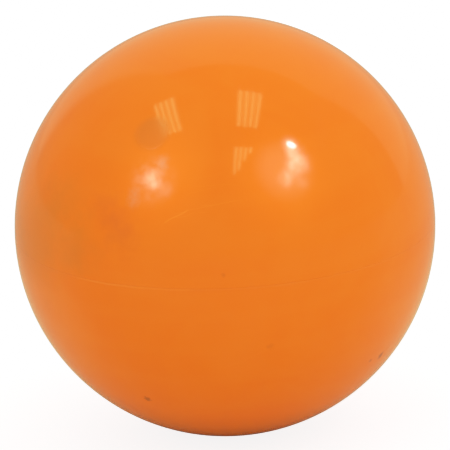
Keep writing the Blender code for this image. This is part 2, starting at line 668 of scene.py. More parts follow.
@dataclass(frozen=True)
class MouldedPlastic:
    """Glossy pigmented plastic as it leaves the mould and the hand.

    Args:
        name: The material's name.
        colour: Its linear base colour.
        warm: The colour where there is more pigment.
        pale: The colour where there is less.
        line: The paler colour of fine lines; on the weld they are a painted highlight along the seam's
            crown, partly trimmed plastic that is paler.
        roughness: Roughness of the clean gloss.
        hazed: How much rougher a hazed patch is.
        filmed_and_painted: How much rougher a film, smudge or painted patch is.
        scratched: How much rougher a scuff's hairs are.
        peel: Depth of the orange-peel in millimetres.
        scratch_depth: Depth of a fine line in millimetres.
        scuff_share: How deep a scuff's hairs are beside that.
        drift: How far the colour drifts, from 0 to 1.
        streaks: How much of that the flow's streaks show.
        specks: Share of the speck cells that hold one.
        speck_strength: How much of their colour the specks have.
        films_and_painted_light: Thin film, smudges, pale streaks and patches of painted shade and painted
            reflection at their places, which also dull the gloss.
        dots: Dark specks at their places.
        hairs: Fine lines at their places.
    """

    name: str
    colour: Colour = (0.93, 0.186, 0.006)
    warm: Colour = (0.92, 0.172, 0.0045)
    pale: Colour = (0.94, 0.203, 0.009)
    line: Colour = (1.0, 0.24, 0.016)
    roughness: float = 0.06
    hazed: float = 0.045
    filmed_and_painted: float = 0.06
    scratched: float = 0.04
    peel: float = 0.0004
    scratch_depth: float = 0.0015
    scuff_share: float = 0.25
    drift: float = 0.45
    streaks: float = 0.35
    specks: float = 0.12
    speck_strength: float = 0.4
    films_and_painted_light: tuple[Spot, ...] = ()
    dots: tuple[Spot, ...] = ()
    hairs: tuple[Hair, ...] = ()

    def build(self, effects: SurfaceEffects, radius: float) -> bpy.types.Material:
        """Builds the material.

        Args:
            effects: The shared groups.
            radius: The ball's radius, for the marks that have a place.

        Returns:
            The material.
        """
        material, graph = new_material(self.name)
        place = graph.add("ShaderNodeTexCoord").outputs["Object"]
        at = graph.add("ShaderNodeMapping", {"Vector": place, "Scale": (1 / MM, 1 / MM, 1 / MM)}).outputs[0]
        marking = Marking(graph, effects, at, radius / MM)

        drift = marking.effect(effects.drift)
        tone = graph.math("MULTIPLY", drift["Tone"], self.drift)
        colour = graph.mix(graph.math("MAXIMUM", tone, 0.0), (*self.colour, 1.0), (*self.pale, 1.0))
        fuller = graph.math("MAXIMUM", graph.math("MULTIPLY", tone, -1.0), 0.0)
        colour = graph.mix(fuller, colour, (*self.warm, 1.0))
        streak = graph.math("MULTIPLY", drift["Streak"], self.streaks * self.drift)
        colour = graph.mix(streak, colour, (*self.pale, 1.0))

        # Thin film, smudges and pale streaks, with the painted shade over the plug and the left rim and a
        # painted reflection of a ceiling luminaire
        colour, filmed_and_painted = marking.spots(colour, self.films_and_painted_light)
        # Paler fine lines; on the weld they paint the highlight along the seam's crown
        hair = marking.lines(self.hairs)
        colour = graph.mix(hair, colour, (*self.line, 1.0))
        colour, _ = marking.spots(colour, self.dots)
        speck = marking.effect(effects.speck, {"Share": self.specks})["Mask"]
        colour = graph.mix(graph.math("MULTIPLY", speck, self.speck_strength), colour, (*SPECK, 1.0))

        scuff = marking.effect(effects.scuff)
        rough = graph.math("MULTIPLY", scuff["Haze"], self.hazed)
        rough = graph.math("ADD", rough, graph.math("MULTIPLY", filmed_and_painted, self.filmed_and_painted))
        rough = graph.math("ADD", rough, graph.math("MULTIPLY", scuff["Hairs"], self.scratched))
        rough = graph.math("ADD", rough, self.roughness)

        skin = marking.effect(effects.peel, {"Depth": self.peel})["Height"]
        scratch = graph.math("ADD", hair, graph.math("MULTIPLY", scuff["Hairs"], self.scuff_share))
        height = graph.math("SUBTRACT", skin, graph.math("MULTIPLY", scratch, self.scratch_depth))
        bump = graph.add("ShaderNodeBump", {"Height": height, "Strength": 1.0, "Distance": MM}).outputs[0]
        looks = {"Base Color": colour, "Roughness": rough, "Normal": bump, "IOR": 1.5}
        graph.surface(graph.add("ShaderNodeBsdfPrincipled", looks).outputs[0])
        return material


# ---- pieces


@dataclass
class HalfShell:
    """One moulded half of the ball: its skin, its wall, its thick rim and, above the seam, the plug's seat.

    Args:
        sizes: The ball's sizes.
        half: Which side of the seam it is on.
        skin: The unevenness of its outside.
        grain: The length of a facet on the outside.
        lip: Radius of the rounded corner between the skin and the rim face.
        lip_steps: How many facets round a lip.
        inner_facets: How many facets along the inner wall.
        rim_height: Height up to which the rim has its full width.
        taper_top: Height at which it has thinned to the wall.
        seat_radius: Radius of the plug's seat.
        seat_lip: Radius of the seat's rounded edge.
        seat_depth: Depth of the seat under that edge.
        bore_radius: Radius of the bore for the plug's stem.
        boss_radius: Radius of the thick pad round the bore.
        boss_depth: How far the pad stands in from the inner wall.
    """

    sizes: BallSizes
    half: Half
    skin: Undulation
    grain: float = 0.5 * MM
    lip: float = 0.02 * MM
    lip_steps: int = 3
    inner_facets: int = 40
    rim_height: float = 2.5 * MM
    taper_top: float = 4.5 * MM
    seat_radius: float = 3.0015 * MM
    seat_lip: float = 0.003 * MM
    seat_depth: float = 0.75 * MM
    bore_radius: float = 1.5 * MM
    boss_radius: float = 4.0 * MM
    boss_depth: float = 1.4 * MM

    def build(self, finish: bpy.types.Material) -> bpy.types.Object:
        """Builds and dresses the shell.

        Args:
            finish: Its material.

        Returns:
            The finished piece.
        """
        bm = self._with_seat() if self.half is Half.UPPER else self._plain()
        self.skin.apply(bm, above=(self.sizes.radius + self.sizes.inner_radius) / 2)
        side = self.half.name.lower()
        return to_piece(bm, f"{side}_shell_moulding", finish, f"{side}_half_shell")

    def _facets_round(self) -> int:
        """Counts the facets round the ball's equator."""
        return 8 * round(2 * math.pi * self.sizes.radius / self.grain / 8)

    def _facets_along(self, degrees: float) -> int:
        """Counts the facets along an arc of the skin."""
        return math.ceil(math.radians(degrees) * self.sizes.radius / self.grain)

    def _plain(self) -> Mesh:
        """Turns the half with no plug about the seam's normal.

        Returns:
            The closed surface.
        """
        size, lip = self.sizes, self.lip
        rim = size.rim_height
        skin_start = math.degrees(math.asin((rim + lip) / size.radius))
        inner_start = math.degrees(math.asin(self.taper_top / size.inner_radius))
        corner = math.sqrt(size.radius**2 - (rim + lip) ** 2) - lip
        lathe = Lathe(0.0, size.radius)
        lathe.arc((0.0, 0.0), skin_start - 90.0, self._facets_along(90.0 - skin_start))
        lathe.arc((corner, rim + lip), -90.0, self.lip_steps)
        lathe.line(size.rim_inner_radius, rim)
        lathe.line(size.rim_inner_radius, self.rim_height)
        lathe.line(math.sqrt(size.inner_radius**2 - self.taper_top**2), self.taper_top, 2)
        lathe.arc((0.0, 0.0), 90.0 - inner_start, self.inner_facets)
        bm = lathe.turn(self._facets_round())
        bmesh.ops.scale(bm, vec=(1.0, 1.0, float(self.half.value)), verts=bm.verts[:])
        return bm

    def _with_seat(self) -> Mesh:
        """Turns both walls about the plug's axis, cuts them at the seam and closes the rim.

        Returns:
            The closed surface.
        """
        bm = self._seated_walls()
        rim = self.sizes.rim_height
        for height, clear in ((self.taper_top, False), (self.rim_height, False), (rim + self.lip, True)):
            bmesh.ops.bisect_plane(
                bm,
                geom=bm.verts[:] + bm.edges[:] + bm.faces[:],
                dist=0.001 * MM,
                plane_co=(0.0, 0.0, height),
                plane_no=(0.0, 0.0, 1.0),
                clear_inner=clear,
            )
        self._thicken_rim(bm)
        outer, inner = self._open_loops(bm)
        outer = self._round_lip(bm, outer)
        inner = self._extend(bm, inner, self.sizes.rim_inner_radius, rim)
        bmesh.ops.bridge_loops(bm, edges=outer + inner)
        return bm

    def _seated_walls(self) -> Mesh:
        """Turns the skin, the plug's seat and bore, the boss and the inner wall as one run.

        Returns:
            The surface, open beyond the seam.
        """
        size, lip = self.sizes, self.seat_lip
        reach = 92.0 + size.plug_latitude
        seat_edge = self.seat_radius + lip
        seat_angle = math.degrees(math.asin(seat_edge / size.radius))
        top = math.sqrt(size.radius**2 - seat_edge**2)
        boss_face = size.inner_radius - self.boss_depth
        root_angle = math.degrees(math.asin(self.boss_radius / size.inner_radius))
        start = math.radians(90.0 - reach)
        lathe = Lathe(size.radius * math.cos(start), size.radius * math.sin(start))
        lathe.arc((0.0, 0.0), reach - seat_angle, self._facets_along(reach - seat_angle))
        lathe.arc((seat_edge, top - lip), 90.0, self.lip_steps)
        lathe.line(self.seat_radius, top - self.seat_depth, 2)
        lathe.line(self.bore_radius, top - self.seat_depth)
        lathe.line(self.bore_radius, boss_face, 3)
        lathe.line(self.boss_radius, boss_face, 2)
        lathe.line(self.boss_radius, size.inner_radius * math.cos(math.radians(root_angle)), 2)
        lathe.arc((0.0, 0.0), root_angle - reach, self.inner_facets)
        return lathe.turn(self._facets_round(), axis=size.plug_axis)

    def _thicken_rim(self, bm: Mesh) -> None:
        """Draws the inner wall in towards the axis near the seam, to the rim's width.

        Args:
            bm: The surface, cut at the heights where the rim starts and ends.
        """
        size = self.sizes
        middle = (size.radius + size.inner_radius) / 2
        for vert in bm.verts:
            if vert.co.length < middle and vert.co.z < self.taper_top:
                across = math.hypot(vert.co.x, vert.co.y)
                share = min(1.0, (self.taper_top - vert.co.z) / (self.taper_top - self.rim_height))
                goal = across + (size.rim_inner_radius - across) * share
                vert.co.x *= goal / across
                vert.co.y *= goal / across

    def _open_loops(self, bm: Mesh) -> tuple[Edges, Edges]:
        """Finds the open edges that the seam's cut left.

        Args:
            bm: The surface.

        Returns:
            The loop on the skin and the loop on the inner wall.
        """
        middle = self.sizes.radius - self.sizes.wall / 2
        open_edges = [edge for edge in bm.edges if edge.is_boundary]
        outer = [edge for edge in open_edges if edge.verts[0].co.length > middle]
        inner = [edge for edge in open_edges if edge.verts[0].co.length <= middle]
        return outer, inner

    def _round_lip(self, bm: Mesh, loop: Edges) -> Edges:
        """Rolls the skin's open edge round into the rim face.

        Args:
            bm: The surface.
            loop: The skin's open edges.

        Returns:
            The open edges at the end of the roll.
        """
        across = math.sqrt(self.sizes.radius**2 - (self.sizes.rim_height + self.lip) ** 2)
        for step in range(1, self.lip_steps + 1):
            swing = math.radians(90.0 * step / self.lip_steps)
            radius = across - self.lip * (1.0 - math.cos(swing))
            height = self.sizes.rim_height + self.lip * (1.0 - math.sin(swing))
            loop = self._extend(bm, loop, radius, height)
        return loop

    @staticmethod
    def _extend(
        bm: Mesh, loop: Edges, radius: float, height: float
    ) -> Edges:
        """Extrudes a level loop to a new radius and height.

        Args:
            bm: The surface.
            loop: Its open edges.
            radius: The new loop's distance from the Z axis.
            height: Its height.

        Returns:
            The new open edges.
        """
        grown = bmesh.ops.extrude_edge_only(bm, edges=loop)["geom"]
        verts = [item for item in grown if isinstance(item, bmesh.types.BMVert)]
        for vert in verts:
            share = radius / math.hypot(vert.co.x, vert.co.y)
            vert.co = Vector((vert.co.x * share, vert.co.y * share, height))
        return [item for item in grown if isinstance(item, bmesh.types.BMEdge) and item.is_boundary]


@dataclass
class SeamWeld:
    """The ring that melted between the rims: a trimmed crown outside and a rolled bead inside.

    Args:
        sizes: The ball's sizes.
        skin: The unevenness of the shells, which the crown follows.
        facets_round: How many facets it has round the ball.
        proud: How far the crown stands above the skin.
        gap: The clearance to the rims.
        web_half: Half the web's thickness between the rims.
        crown_steps: How many facets across the crown.
        bead_radius: Radius of each of the bead's two rolls.
        bead_steps: How many facets round a roll.
        trim_wave: How far apart the crown's higher places are.
        trim_depth: How much lower than them it is trimmed.
    """

    sizes: BallSizes
    skin: Undulation
    facets_round: int = 720
    proud: float = 0.02 * MM
    gap: float = 0.005 * MM
    web_half: float = 0.15 * MM
    crown_steps: int = 8
    bead_radius: float = 0.42 * MM
    bead_steps: int = 16
    trim_wave: float = 9 * MM
    trim_depth: float = 0.02 * MM

    def build(self, finish: bpy.types.Material) -> bpy.types.Object:
        """Builds and dresses the weld.

        Args:
            finish: Its material.

        Returns:
            The finished piece.
        """
        size = self.sizes
        half = size.rim_height - self.gap
        curve = (half**2 + self.proud**2) / (2 * self.proud)
        swing = math.degrees(math.asin(half / curve))
        hub = size.radius + self.proud - curve
        web_end = size.rim_inner_radius - self.gap
        lathe = Lathe(size.radius, half)
        lathe.arc((hub, 0.0), -2 * swing, self.crown_steps)
        lathe.line(size.radius - 2 * self.web_half, -self.web_half)
        lathe.line(web_end, -self.web_half)
        lathe.arc((web_end - self.bead_radius, -self.web_half), -180.0, self.bead_steps)
        lathe.line(web_end - 1.6 * self.bead_radius, 0.0)
        lathe.line(web_end - 2 * self.bead_radius, self.web_half)
        lathe.arc((web_end - self.bead_radius, self.web_half), -180.0, self.bead_steps)
        lathe.line(size.radius - 2 * self.web_half, self.web_half)
        lathe.line(size.radius, half)
        bm = lathe.turn(self.facets_round)
        self._trim(bm)
        return to_piece(bm, "seam_weld_bead", finish, "seam_weld")

    def _trim(self, bm: Mesh) -> None:
        """Lets the crown's height vary round the ball, as a trimmed weld's does.

        Args:
            bm: The weld's surface.
        """
        foot = self.sizes.radius - self.web_half
        for vert in bm.verts:
            if vert.co.length > foot:
                wave = noise.noise(vert.co / self.trim_wave + Vector((3.1, 0.0, 0.0)))
                cut = self.trim_depth * (0.5 + wave)
                share = 1.0 - (vert.co.z / self.sizes.rim_height) ** 2
                vert.co += vert.co.normalized() * (self.skin.height(vert.co) - cut * share)


@dataclass
class VentPlug:
    """The plug that closes the moulding vent: a head flush with the skin, a stem and a barb.

    Args:
        sizes: The ball's sizes.
        skin: The unevenness of the shells, which the head follows.
        facets_round: How many facets it has round its axis.
        head_radius: Radius of the head.
        head_lip: Radius of the head's rounded edge.
        head_depth: Depth of the head at its edge.
        cap_steps: How many facets from the head's middle to its edge.
        sunk: How far the head lies below the skin.
        stem_radius: Radius of the stem.
        barb_radius: Radius of the barb, where it is widest.
        barb_tip: Radius of the barb's end.
        barb_length: Length of the barb.
        shoulder_depth: How far below the skin the barb starts.
    """

    sizes: BallSizes
    skin: Undulation
    facets_round: int = 144
    head_radius: float = 3.0 * MM
    head_lip: float = 0.003 * MM
    head_depth: float = 0.7 * MM
    cap_steps: int = 12
    sunk: float = 0.002 * MM
    stem_radius: float = 1.45 * MM
    barb_radius: float = 1.9 * MM
    barb_tip: float = 0.9 * MM
    barb_length: float = 1.2 * MM
    shoulder_depth: float = 3.0 * MM

    def build(self, finish: bpy.types.Material) -> bpy.types.Object:
        """Builds and dresses the plug.

        Args:
            finish: Its material.

        Returns:
            The finished piece.
        """
        size, lip = self.sizes, self.head_lip
        top = size.radius - self.sunk
        edge = self.head_radius - lip
        swing = math.degrees(math.asin(edge / top))
        rim = top * math.cos(math.radians(swing))
        shoulder = size.radius - self.shoulder_depth
        lathe = Lathe(0.0, top)
        lathe.arc((0.0, 0.0), -swing, self.cap_steps)
        lathe.arc((edge, rim - lip), -90.0, 3)
        lathe.line(self.head_radius, rim - self.head_depth, 2)
        lathe.line(self.stem_radius, rim - self.head_depth)
        lathe.line(self.stem_radius, shoulder, 3)
        lathe.line(self.barb_radius, shoulder)
        lathe.line(self.barb_tip, shoulder - self.barb_length, 3)
        lathe.line(0.0, shoulder - self.barb_length)
        bm = lathe.turn(self.facets_round, axis=size.plug_axis)
        self.skin.apply(bm, above=size.radius - self.head_depth / 2)
        return to_piece(bm, "vent_plug_cap", finish, "vent_plug")


# ---- camera, stage and light


@dataclass(frozen=True)
class Viewpoint:
    """Where the camera stands, and the room axes that go with it.

    Args:
        azimuth: Degrees round the ball, 0 looking along +Y.
        elevation: Degrees above the seam plane.
        roll: Degrees that the camera leans to its right.
        distance: Metres from the ball's centre.
        fill: The ball's diameter as a share of the frame's width.
        drop: How far below the frame's middle the ball's centre is, as a share of its width.
        sensor: The sensor's width in millimetres.
        clip: The nearest and the furthest that the camera sees.
    """

    azimuth: float = 25.63
    elevation: float = 17.19
    roll: float = 2.59
    distance: float = 1.5
    fill: float = 0.9356
    drop: float = 0.0018
    sensor: float = 36.0
    clip: tuple[float, float] = (0.01, 60.0)

    @property
    def right(self) -> Vector:
        """Level, to the right of the camera."""
        turn = math.radians(self.azimuth)
        return Vector((math.cos(turn), math.sin(turn), 0.0))

    @property
    def ahead(self) -> Vector:
        """Level, away from the camera."""
        turn = math.radians(self.azimuth)
        return Vector((-math.sin(turn), math.cos(turn), 0.0))

    @property
    def back(self) -> Vector:
        """From the ball to the camera."""
        rise = math.radians(self.elevation)
        return UP * math.sin(rise) - self.ahead * math.cos(rise)

    def room(self, right: float, ahead: float, up: float) -> Vector:
        """Turns a place in the room, to the camera's right, ahead of it and up, into the frame's axes."""
        return self.right * right + self.ahead * ahead + UP * up

    def make_camera(self, radius: float) -> None:
        """Makes the scene's camera.

        Args:
            radius: The ball's radius.
        """
        data = bpy.data.cameras.new("camera")
        data.sensor_width = self.sensor
        half = math.tan(math.asin(radius / self.distance)) / self.fill
        data.lens = self.sensor / 2 / half
        data.shift_y = self.drop
        data.clip_start, data.clip_end = self.clip
        camera = bpy.data.objects.new("camera", data)
        up = self.back.cross(self.right)
        lean = math.radians(self.roll)
        across = self.right * math.cos(lean) - up * math.sin(lean)
        upright = self.right * math.sin(lean) + up * math.cos(lean)
        turned = Matrix((across, upright, self.back)).transposed().to_4x4()
        camera.matrix_world = Matrix.Translation(self.back * self.distance) @ turned
        bpy.context.scene.collection.objects.link(camera)
        bpy.context.scene.camera = camera


@dataclass
class Stage:
    """The pale floor.

    Args:
        view: The camera's viewpoint, which says what is in front of the ball and what is behind.
        floor_height: Where the floor lies.
        floor_radius: How far it reaches.
        shaded: The share of its look to the eye that shadow can darken.
        lit: Its own light to the eye, for an even, pale ground.
        bounced: Its colour to light that bounces softly.
        bounced_light: Its own light to soft light, for the ground beyond the ball's shade.
        mirrored: Its colour in the ball's gloss, in front of the ball.
        mirrored_behind: The same beside the ball and behind, painted paler there as a pool of the strobes'
            light.
        turn_pale: How far ahead of the ball the one starts to turn into the other, and where it ends.
        turn_dim: How far from the ball the paler part starts to fade, and where it ends.
        far_share: How much of the paler part is left there.
    """

    view: Viewpoint
    floor_height: float
    floor_radius: float = 9.0
    shaded: float = 0.3
    lit: float = 1.0
    bounced: float = 0.72
    bounced_light: float = 0.05
    mirrored: Colour = (0.3, 0.3, 0.21)
    mirrored_behind: Colour = (0.56, 0.56, 0.34)
    turn_pale: tuple[float, float] = (-0.045, 0.0)
    turn_dim: tuple[float, float] = (0.06, 0.15)
    far_share: float = 0.35

    def build(self) -> None:
        """Lays the floor."""
        material, graph = new_material("pale_floor")
        path = graph.add("ShaderNodeLightPath").outputs
        eye = path["Is Camera Ray"]
        tone = graph.mix(eye, grey(self.bounced), grey(self.shaded))
        place = graph.add("ShaderNodeNewGeometry").outputs["Position"]
        # In gloss the floor is painted paler beside and behind the ball, fading further off: a painted pool
        # of the strobes' light
        pale = graph.ramp(graph.vector("DOT_PRODUCT", place, self.view.ahead), *self.turn_pale, 0.0, 1.0)
        near = graph.ramp(graph.vector("LENGTH", place), *self.turn_dim, 1.0, self.far_share)
        pale = graph.math("MULTIPLY", pale, near)
        in_gloss = graph.mix(pale, (*self.mirrored, 1.0), (*self.mirrored_behind, 1.0))
        tone = graph.mix(path["Is Glossy Ray"], tone, in_gloss)
        own = graph.math("MULTIPLY", eye, self.lit)
        own = graph.math("ADD", own, graph.math("MULTIPLY", path["Is Diffuse Ray"], self.bounced_light))
        shader = graph.add("ShaderNodeBsdfDiffuse", {"Color": tone})
        glow = graph.add("ShaderNodeEmission", {"Color": grey(1.0), "Strength": own})
        both = graph.add("ShaderNodeAddShader", {"0": shader.outputs[0], "1": glow.outputs[0]})
        graph.surface(both.outputs[0])
        bm = bmesh.new()
        bmesh.ops.create_circle(bm, cap_ends=True, segments=96, radius=self.floor_radius)
        bmesh.ops.translate(bm, verts=bm.verts[:], vec=(0.0, 0.0, self.floor_height))
        to_object(bm, "pale_floor", material)


@dataclass
class Surroundings:
    """The even light of the pale room, brighter from one side, and the wall that the gloss mirrors.

    Args:
        view: The camera's viewpoint, which fixes the room's axes.
        level: Mean brightness of the soft light.
        slope: How its brightness grows to the right, ahead and up.
        mirrored: The room in the ball's gloss.
        backdrop: The wall behind the ball in its gloss.
        wall_left: The wall's left edge, as a share of its distance.
        wall_right: Its right edge.
        wall_top: Its top edge.
        edge: Half the width over which each edge fades.
        seen: Brightness of the ground beyond the floor to the eye.
    """

    view: Viewpoint
    level: float = 0.905
    slope: tuple[float, float, float] = (0.21, 0.08, 0.5)
    mirrored: Colour = (0.33, 0.33, 0.23)
    backdrop: Colour = (0.63, 0.63, 0.4)
    wall_left: float = -0.72
    wall_right: float = 1.7
    wall_top: float = 2.0
    edge: float = 0.12
    seen: float = 1.3

    def build(self) -> None:
        """Makes the world."""
        world = bpy.data.worlds.new("pale_room")
        bpy.context.scene.world = world
        world.use_nodes = True
        graph = Graph(world.node_tree)
        path = graph.add("ShaderNodeLightPath").outputs
        way = graph.add("ShaderNodeTexCoord").outputs["Generated"]
        soft = graph.math("ADD", graph.vector("DOT_PRODUCT", way, self.view.room(*self.slope)), self.level)
        mirror = graph.mix(self._wall(graph, way), (*self.mirrored, 1.0), (*self.backdrop, 1.0))
        even = graph.add("ShaderNodeCombineColor", {"Red": soft, "Green": soft, "Blue": soft})
        colour = graph.mix(path["Is Glossy Ray"], even.outputs[0], mirror)
        colour = graph.mix(path["Is Camera Ray"], colour, grey(self.seen))
        light = graph.add("ShaderNodeBackground", {"Color": colour, "Strength": 1.0})
        graph.add("ShaderNodeOutputWorld", {"Surface": light.outputs[0]})

    def _wall(self, graph: Graph, way: Socket) -> Socket:
        """Finds where the wall behind the ball is.

        Args:
            graph: The world's graph.
            way: The direction looked in.

        Returns:
            A mask, 1 on the wall.
        """
        ahead = graph.math("MAXIMUM", graph.vector("DOT_PRODUCT", way, self.view.ahead), 0.001)
        across = graph.math("DIVIDE", graph.vector("DOT_PRODUCT", way, self.view.right), ahead)
        up = graph.math("DIVIDE", graph.vector("DOT_PRODUCT", way, UP), ahead)
        left = graph.ramp(across, self.wall_left - self.edge, self.wall_left + self.edge, 0.0, 1.0)
        right = graph.ramp(across, self.wall_right - self.edge, self.wall_right + self.edge, 1.0, 0.0)
        top = graph.ramp(up, self.wall_top - self.edge, self.wall_top + self.edge, 1.0, 0.0)
        return graph.math("MULTIPLY", graph.math("MULTIPLY", left, right), top)


@dataclass(frozen=True)
class Luminaire:
    """A ceiling luminaire's place.

    Args:
        right: Its middle, to the right.
        ahead: Its middle, ahead.
        shown: The share of each tube that nothing hides, from its far end.
    """

    right: float
    ahead: float
    shown: tuple[float, ...] = (1.0, 1.0, 1.0, 1.0)


@dataclass
class CeilingLights:
    """The ceiling luminaires, each with four tubes over a white tray.

    Args:
        view: The camera's viewpoint, which fixes the room's axes.
        height: Height of the ceiling above the ball's centre.
        luminaires: Each luminaire's place.
        width: A luminaire's width, to the right.
        length: Its length, ahead.
        tube_width: A tube's width.
        tube_drop: How far the tubes hang below the tray.
        tube: Brightness of a tube, over the tray's.
        tray: Brightness of the white tray behind the tubes.
        tint: The tubes' colour.
    """

    view: Viewpoint
    height: float = 2.4
    luminaires: tuple[Luminaire, ...] = (
        Luminaire(0.56, -0.24),
        Luminaire(-1.05, -0.19),
        Luminaire(0.54, -1.87, (1.0, 0.85, 0.45, 0.2)),
    )
    width: float = 0.49
    length: float = 1.02
    tube_width: float = 0.052
    tube_drop: float = 0.02
    tube: float = 1.95
    tray: float = 1.05
    tint: Colour = (1.0, 0.98, 0.36)

    def build(self) -> None:
        """Hangs the luminaires."""
        tray = added_light("luminaire_tray", self.tray, self.tint)
        tube = added_light("luminaire_tube", self.tube, self.tint)
        for number, luminaire in enumerate(self.luminaires):
            pitch = self.width / len(luminaire.shown)
            for lane, shown in enumerate(luminaire.shown):
                right = luminaire.right + (lane + 0.5) * pitch - self.width / 2
                ahead = luminaire.ahead + self.length * (1.0 - shown) / 2
                size = self.length * shown
                name = f"luminaire_{number}_{lane}"
                below = self.height - self.tube_drop
                self._panel(f"{name}_tray", (right, ahead, self.height), (pitch, size), tray)
                self._panel(f"{name}_tube", (right, ahead, below), (self.tube_width, size), tube)

    def _panel(self, name: str, place: Way, size: tuple[float, float], material: bpy.types.Material) -> None:
        """Hangs one flat glowing strip.

        Args:
            name: Its name.
            place: Its middle, to the right, ahead and up.
            size: Its width and length.
            material: What it is made of.
        """
        bm = bmesh.new()
        bmesh.ops.create_grid(bm, x_segments=1, y_segments=1, size=0.5)
        bmesh.ops.scale(bm, vec=(size[0], size[1], 1.0), verts=bm.verts[:])
        axes = Matrix((self.view.right, self.view.ahead, UP)).transposed()
        bmesh.ops.rotate(bm, verts=bm.verts[:], cent=CENTRE, matrix=axes)
        bmesh.ops.translate(bm, verts=bm.verts[:], vec=self.view.room(*place))
        only_mirrored(to_object(bm, name, material))


@dataclass(frozen=True)
class Glow:
    """A round patch of light on an umbrella, brightest in its middle.

    Args:
        way: The way to its middle, to the right, ahead and up.
        radius: Its radius.
        peak: Its brightness in the middle.
        plateau: The share of its radius that is evenly bright.
        fall: How fast it fades, 1 for softly.
        folds: How far the cloth's folds break it up.
        tint: Its colour.
    """

    way: Way
    radius: float
    peak: float
    plateau: float = 0.0
    fall: float = 1.5
    folds: float = 0.0
    tint: Colour = UMBRELLA


@dataclass
class Strobe:
    """A flash head with a bare tube, and the umbrella that it lights.

    Args:
        view: The camera's viewpoint, which fixes the room's axes.
        name: What the strobe is called.
        tube_way: The way to the tube, to the right, ahead and up.
        tube_size: The tube's width and height.
        tube: Brightness of the tube.
        glows: The light on the umbrella.
        lean: Degrees that the tube is turned about the way to it.
        tube_tint: The tube's colour.
        distance: How far off the strobe is.
        spacing: How far each patch of light is behind the last, with the tube in front.
    """

    view: Viewpoint
    name: str
    tube_way: Way
    tube_size: tuple[float, float]
    tube: float
    glows: tuple[Glow, ...]
    lean: float = 0.0
    tube_tint: Colour = (1.0, 1.0, 1.0)
    distance: float = 1.2
    spacing: float = 0.02

    def build(self) -> None:
        """Sets up the tube and the umbrella's light."""
        self._tube()
        for number, glow in enumerate(self.glows):
            self._glow(glow, number)

    def _facing(self, way: Way, distance: float) -> Matrix:
        """Places something one way off at a distance, with -Z towards the ball and Y up."""
        away = self.view.room(*way).normalized()
        return Matrix.Translation(away * distance) @ away.to_track_quat("Z", "Y").to_matrix().to_4x4()

    def _tube(self) -> None:
        """Sets up the bare tube as a small bright lamp."""
        data = bpy.data.lights.new(f"{self.name}_tube", "AREA")
        data.shape = "ELLIPSE"
        data.size, data.size_y = self.tube_size
        area = math.pi * self.tube_size[0] * self.tube_size[1] / 4
        data.energy = self.tube * math.pi * area
        data.color = self.tube_tint
        lamp = bpy.data.objects.new(data.name, data)
        turned = Matrix.Rotation(math.radians(self.lean), 4, "Z")
        lamp.matrix_world = self._facing(self.tube_way, self.distance) @ turned
        lamp.visible_camera = False
        bpy.context.scene.collection.objects.link(lamp)

    def _glow(self, glow: Glow, number: int) -> None:
        """Sets up one patch of light.

        Args:
            glow: The patch.
            number: Its place in the list, which also sets it behind the last one.
        """
        name = f"{self.name}_glow_{number}"
        material, graph = new_material(name)
        at = graph.add("ShaderNodeTexCoord").outputs["Object"]
        fade = graph.ramp(graph.vector("LENGTH", at), glow.radius * glow.plateau, glow.radius, 1.0, 0.0)
        moved = graph.add("ShaderNodeMapping", {"Vector": at, "Location": (3.1 * number, 1.7, 0.0)})
        cloth = graph.noise(moved.outputs[0], 13.0, detail=2.5, roughness=0.6, distortion=0.6)
        folds = graph.ramp(cloth, 0.35, 0.65, 1.0 - glow.folds, 1.0 + glow.folds)
        strength = graph.math("MULTIPLY", graph.math("POWER", fade, glow.fall), folds)
        finish_added_light(graph, graph.math("MULTIPLY", strength, glow.peak), glow.tint)
        bm = bmesh.new()
        bmesh.ops.create_circle(bm, cap_ends=True, segments=64, radius=glow.radius)
        patch = to_object(bm, name, material)
        patch.matrix_world = self._facing(glow.way, self.distance + self.spacing * (number + 1))
        only_mirrored(patch)


def grey(level: float) -> tuple[float, float, float, float]:
    """Gives a grey as a socket takes it."""
    return (level, level, level, 1.0)


def added_light(name: str, strength: float, tint: Colour) -> bpy.types.Material:
    """Makes a material that adds its light to what is behind it.

    Args:
        name: Its name.
        strength: Its brightness.
        tint: Its colour.

    Returns:
        The material.
    """
    material, graph = new_material(name)
    finish_added_light(graph, strength, tint)
    return material


def finish_added_light(graph: Graph, strength: Value, tint: Colour) -> None:
    """Ends a material's graph with light that is added to what is behind it.

    Args:
        graph: The material's graph.
        strength: Its brightness, as a number or an output.
        tint: Its colour.
    """
    glow = graph.add("ShaderNodeEmission", {"Color": (*tint, 1.0), "Strength": strength})
    clear = graph.add("ShaderNodeBsdfTransparent")
    both = graph.add("ShaderNodeAddShader", {"0": glow.outputs[0], "1": clear.outputs[0]})
    graph.surface(both.outputs[0])


def only_mirrored(panel: bpy.types.Object) -> None:
    """Stages a panel that shows only in gloss, so that the soft light stays even.

    Args:
        panel: The panel.
    """
    panel.visible_camera = False
    panel.visible_diffuse = False
    panel.visible_shadow = False


